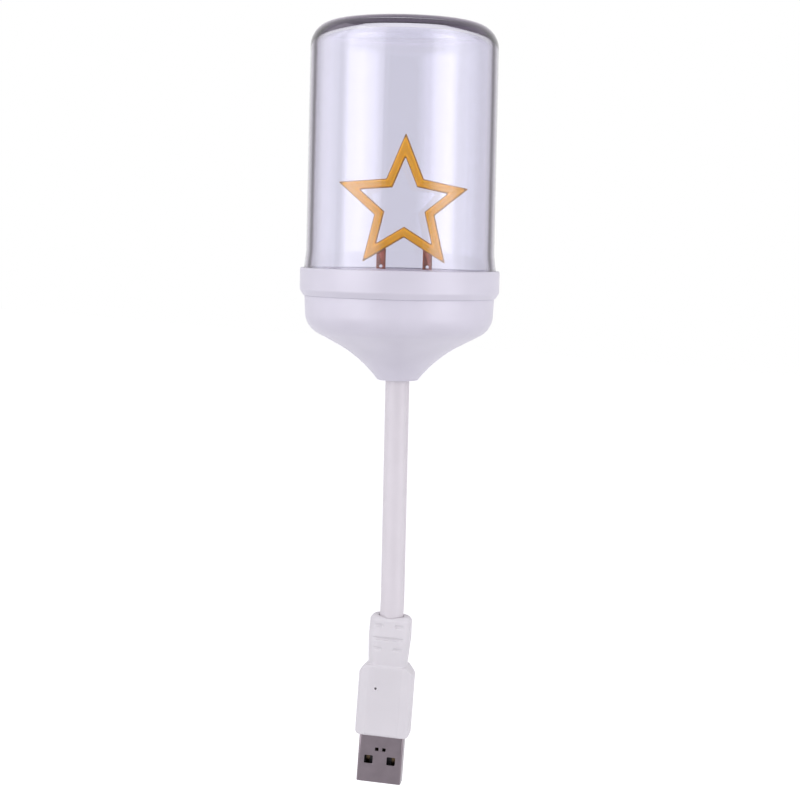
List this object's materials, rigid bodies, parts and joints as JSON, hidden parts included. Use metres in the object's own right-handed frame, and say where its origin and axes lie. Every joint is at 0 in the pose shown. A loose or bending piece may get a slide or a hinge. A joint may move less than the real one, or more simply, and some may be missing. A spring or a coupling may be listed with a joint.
{
  "type": "USB night light on a bending arm",
  "caption": "Plug-in night light: a clear dome over a star-shaped LED filament, on a white cup carried by a bending arm with a USB-A plug.",
  "frame": {"origin": "centre of the plug's seat face, the lower end of the grip that stops against the port", "axes": "+Z along the plug towards the lamp, +X along the plug's wide side, -Y the side the star faces"},
  "size_m": [0.0537, 0.0522, 0.202],
  "materials": {
    "white_plastic": "moulded white plastic, satin",
    "clear_plastic": "clear moulded plastic, polished",
    "sleeve_plastic": "soft white sleeve, satin",
    "grip_plastic": "soft white overmoulded plastic",
    "inner_plastic": "hard white inner moulding",
    "shell_steel": "nickel-plated bent steel sheet",
    "hose_steel": "plated steel links",
    "contact_gold": "gold-plated copper strip",
    "solder_tin": "bright tin solder",
    "lead_rubber": "insulated stranded wire, matte",
    "board_green": "glass-fibre board with a green mask",
    "resistor_black": "ceramic chip",
    "screw_steel": "zinc-plated steel",
    "clamp_steel": "pressed steel",
    "strip_ceramic": "thin bare strip",
    "chip_blue": "small bare chips",
    "phosphor_orange": "orange silicone with phosphor, satin",
    "leg_copper": "browned copper-coloured strip"
  },
  "bodies": {
    "plug": {"plug_overmould": "grip_plastic", "usb_shell": "shell_steel", "contact_carrier": "inner_plastic", "usb_contacts": "contact_gold", "plug_solder": "solder_tin", "plug_inner_mould": "inner_plastic", "hose_ball_end": "hose_steel", "hose_sleeve": "sleeve_plastic", "lead_positive": "lead_rubber", "lead_negative": "lead_rubber"},
    "link_01": {"hose_link_01": "hose_steel"},
    "link_02": {"hose_link_02": "hose_steel"},
    "link_03": {"hose_link_03": "hose_steel"},
    "link_04": {"hose_link_04": "hose_steel"},
    "link_05": {"hose_link_05": "hose_steel"},
    "link_06": {"hose_link_06": "hose_steel"},
    "link_07": {"hose_link_07": "hose_steel"},
    "link_08": {"hose_link_08": "hose_steel"},
    "link_09": {"hose_link_09": "hose_steel"},
    "head": {"hose_socket_end": "hose_steel", "base_cup": "white_plastic", "hose_anchor": "clamp_steel", "clamp_plate": "clamp_steel", "housing_screws": "screw_steel", "driver_board": "board_green", "series_resistor": "resistor_black", "board_solder": "solder_tin", "dome_cover": "clear_plastic", "collar_ring": "white_plastic", "floor_plate": "white_plastic", "star_substrate": "strip_ceramic", "led_chips": "chip_blue", "phosphor_front": "phosphor_orange", "phosphor_back": "phosphor_orange", "filament_leg_left": "leg_copper", "filament_leg_right": "leg_copper"}
  },
  "joints": [
    {"name": "arm_hinge_01", "type": "hinge", "parent": "plug", "child": "link_01", "pos_m": [0, 0, 0.03576], "axis": [0.9986, 0, 0.0523], "range_deg": [-18, 18], "deforming": ["hose_sleeve", "lead_positive", "lead_negative"]},
    {"name": "arm_hinge_02", "type": "hinge", "parent": "link_01", "child": "link_02", "pos_m": [-0.00033, 0, 0.04207], "axis": [0, 1, 0], "range_deg": [-18, 18], "deforming": ["hose_sleeve", "lead_positive", "lead_negative"]},
    {"name": "arm_hinge_03", "type": "hinge", "parent": "link_02", "child": "link_03", "pos_m": [-0.00066, 0, 0.04838], "axis": [0.9986, 0, 0.0523], "range_deg": [-18, 18], "deforming": ["hose_sleeve", "lead_positive", "lead_negative"]},
    {"name": "arm_hinge_04", "type": "hinge", "parent": "link_03", "child": "link_04", "pos_m": [-0.00099, 0, 0.05469], "axis": [0, 1, 0], "range_deg": [-18, 18], "deforming": ["hose_sleeve", "lead_positive", "lead_negative"]},
    {"name": "arm_hinge_05", "type": "hinge", "parent": "link_04", "child": "link_05", "pos_m": [-0.00132, 0, 0.06101], "axis": [0.9986, 0, 0.0523], "range_deg": [-18, 18], "deforming": ["hose_sleeve", "lead_positive", "lead_negative"]},
    {"name": "arm_hinge_06", "type": "hinge", "parent": "link_05", "child": "link_06", "pos_m": [-0.00165, 0, 0.06732], "axis": [0, 1, 0], "range_deg": [-18, 18], "deforming": ["hose_sleeve", "lead_positive", "lead_negative"]},
    {"name": "arm_hinge_07", "type": "hinge", "parent": "link_06", "child": "link_07", "pos_m": [-0.00198, 0, 0.07363], "axis": [0.9986, 0, 0.0523], "range_deg": [-18, 18], "deforming": ["hose_sleeve", "lead_positive", "lead_negative"]},
    {"name": "arm_hinge_08", "type": "hinge", "parent": "link_07", "child": "link_08", "pos_m": [-0.00232, 0, 0.07994], "axis": [0, 1, 0], "range_deg": [-18, 18], "deforming": ["hose_sleeve", "lead_positive", "lead_negative"]},
    {"name": "arm_hinge_09", "type": "hinge", "parent": "link_08", "child": "link_09", "pos_m": [-0.00265, 0, 0.08625], "axis": [0.9986, 0, 0.0523], "range_deg": [-18, 18], "deforming": ["hose_sleeve", "lead_positive", "lead_negative"]},
    {"name": "arm_hinge_10", "type": "hinge", "parent": "link_09", "child": "head", "pos_m": [-0.00298, 0, 0.09256], "axis": [0, 1, 0], "range_deg": [-18, 18], "deforming": ["hose_sleeve", "lead_positive", "lead_negative"]}
  ],
  "couplings": [
    {"joint": "arm_hinge_03", "follows": "arm_hinge_01", "ratio": 1},
    {"joint": "arm_hinge_04", "follows": "arm_hinge_02", "ratio": 1},
    {"joint": "arm_hinge_05", "follows": "arm_hinge_01", "ratio": 1},
    {"joint": "arm_hinge_06", "follows": "arm_hinge_02", "ratio": 1},
    {"joint": "arm_hinge_07", "follows": "arm_hinge_01", "ratio": 1},
    {"joint": "arm_hinge_08", "follows": "arm_hinge_02", "ratio": 1},
    {"joint": "arm_hinge_09", "follows": "arm_hinge_01", "ratio": 1},
    {"joint": "arm_hinge_10", "follows": "arm_hinge_02", "ratio": 1}
  ]
}
